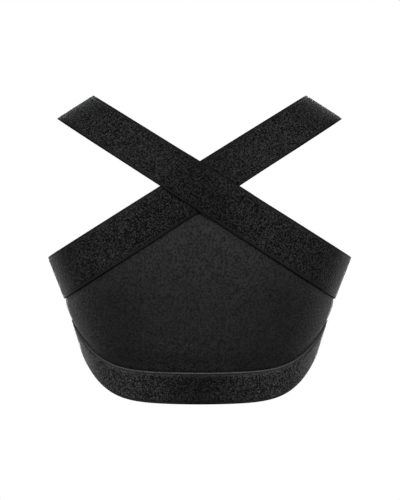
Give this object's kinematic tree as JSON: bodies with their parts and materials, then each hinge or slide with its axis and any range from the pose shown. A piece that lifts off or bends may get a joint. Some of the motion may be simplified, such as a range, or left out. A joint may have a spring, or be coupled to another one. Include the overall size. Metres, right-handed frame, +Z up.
{
  "type": "posture corrector",
  "caption": "Sleeveless elastic posture vest, worn form: wide straps that cross on the back, a knitted back panel, an elastic hem band and a front closure.",
  "frame": {"origin": "midway between the undersides of the two straps where they pass over the shoulders", "axes": "+Z up the wearer's body, -Y out of the back, +X to the wearer's right"},
  "size_m": [0.3248, 0.2198, 0.329],
  "materials": {
    "elastic": "black woven elastic with a speckled face",
    "knit": "black fine knit, matt",
    "tape": "black hook-and-loop tape, matt"
  },
  "bodies": {
    "root": {"back_panel": "knit", "front_panel_left": "knit", "front_panel_right": "knit", "cross_strap_over": "elastic", "cross_strap_under": "elastic", "hem_band": "elastic", "front_closure": "tape"}
  },
  "joints": []
}
